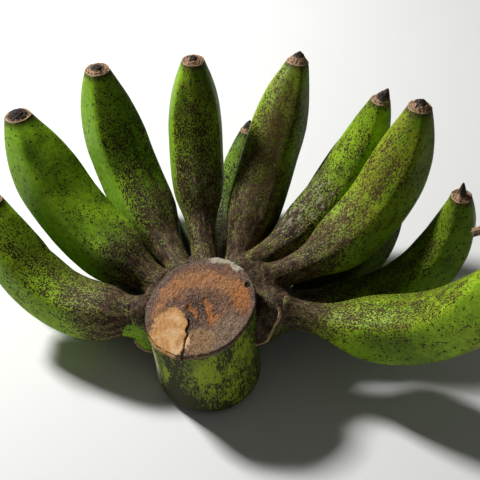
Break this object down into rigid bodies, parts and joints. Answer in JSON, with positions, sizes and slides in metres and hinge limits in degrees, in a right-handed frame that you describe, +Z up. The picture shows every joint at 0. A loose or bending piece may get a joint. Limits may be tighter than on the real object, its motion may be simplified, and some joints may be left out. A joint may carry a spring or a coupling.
{
  "type": "hand of green cooking bananas",
  "caption": "Whole hand of green ridged cooking bananas on a thick stub of bunch stalk with a slanting cut, its fingers fanned out in two rows and curving up.",
  "frame": {"origin": "middle of the stalk stub's flat foot, on the surface that the hand rests on", "axes": "+Z up along the stalk, +X to the right along the hand's widest span, +Y backwards from the slanting cut to the fingers"},
  "size_m": [0.3545, 0.253, 0.1908],
  "materials": {
    "upper_peel": "waxy green peel with fine dark brown speckles",
    "lower_peel": "waxy green peel with fine dark brown speckles",
    "stalk": "matt green rind with dark streaks, and a brown weathered fibrous cut"
  },
  "bodies": {
    "root": {"stalk_and_crown": "stalk", "upper_finger_1": "upper_peel", "upper_finger_2": "upper_peel", "upper_finger_3": "upper_peel", "upper_finger_4": "upper_peel", "upper_finger_5": "upper_peel", "upper_finger_6": "upper_peel", "upper_finger_7": "upper_peel", "upper_finger_8": "upper_peel", "upper_finger_9": "upper_peel", "lower_finger_1": "lower_peel", "lower_finger_2": "lower_peel", "lower_finger_3": "lower_peel", "lower_finger_4": "lower_peel", "lower_finger_5": "lower_peel", "lower_finger_6": "lower_peel"}
  },
  "joints": []
}
